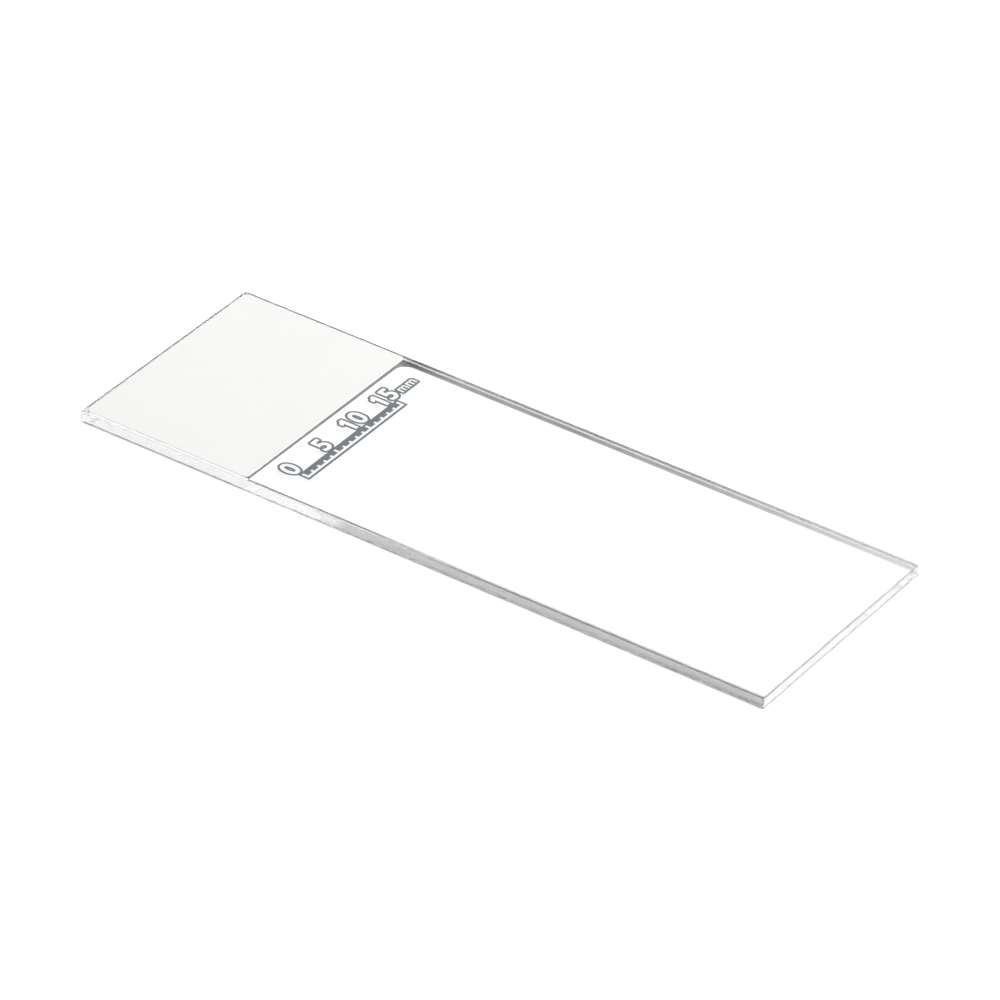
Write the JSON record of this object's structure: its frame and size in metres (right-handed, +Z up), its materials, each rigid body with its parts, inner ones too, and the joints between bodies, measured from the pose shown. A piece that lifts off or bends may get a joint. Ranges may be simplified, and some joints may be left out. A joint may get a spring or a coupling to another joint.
{
  "type": "microscope slide",
  "caption": "Flat glass microscope slide with ground, bevelled edges, a matt white marking field printed at one end and a clear field for the specimen.",
  "frame": {"origin": "centre of the underside, on the surface that the slide lies on", "axes": "+X along the slide from the marked end to the plain end, +Y across it from the front long edge to the back one, +Z up out of the coated face"},
  "size_m": [0.076, 0.026, 0.0011],
  "materials": {
    "float_glass": "clear faces as drawn, long and short edges ground and faintly satin",
    "marking_enamel": "matt, very slightly toothed so that pencil and pen take",
    "outline_ink": "matt slate-grey printing ink around the scale's white numerals"
  },
  "bodies": {
    "root": {"glass_plate": "float_glass", "marking_coat": "marking_enamel"}
  },
  "joints": []
}
